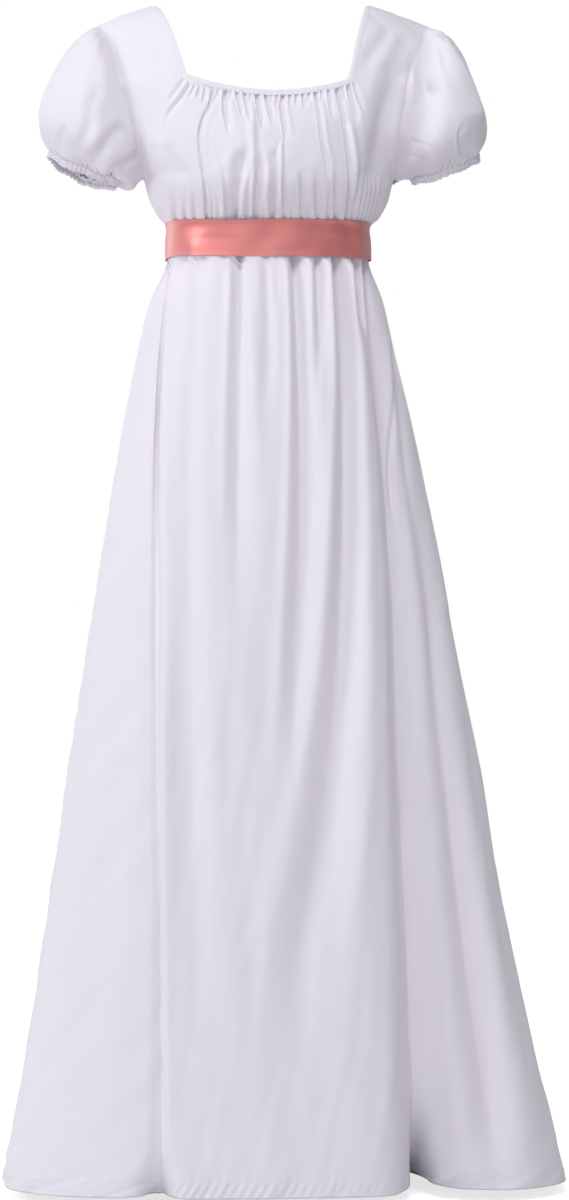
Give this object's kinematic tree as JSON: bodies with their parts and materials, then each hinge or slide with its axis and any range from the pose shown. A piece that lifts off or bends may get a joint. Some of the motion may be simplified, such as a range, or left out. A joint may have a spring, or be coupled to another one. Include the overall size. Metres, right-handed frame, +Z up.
{
  "type": "regency gown",
  "caption": "Floor-length high-waisted gown, hollow and filled out as worn, with a gathered square neckline, puff sleeves, a ribbon sash and a long folded skirt.",
  "frame": {"origin": "midway between the two shoulders at the height of the neck points, where the wearer carries the gown", "axes": "+Z up, -Y towards the front of the gown, +X towards the wearer's left"},
  "size_m": [0.6525, 0.4399, 1.3717],
  "materials": {
    "cloth": "smooth matte white crepe with a faint lilac cast",
    "elastic": "the same cloth, drawn up over narrow elastic",
    "sash": "dusty coral pink satin ribbon with a soft sheen"
  },
  "bodies": {
    "root": {"bodice_front": "cloth", "bodice_back": "cloth", "neck_binding": "elastic", "sleeve_right": "cloth", "sleeve_left": "cloth", "cuff_right": "elastic", "cuff_left": "elastic", "skirt_front": "cloth", "skirt_back": "cloth", "sash": "sash"}
  },
  "joints": []
}
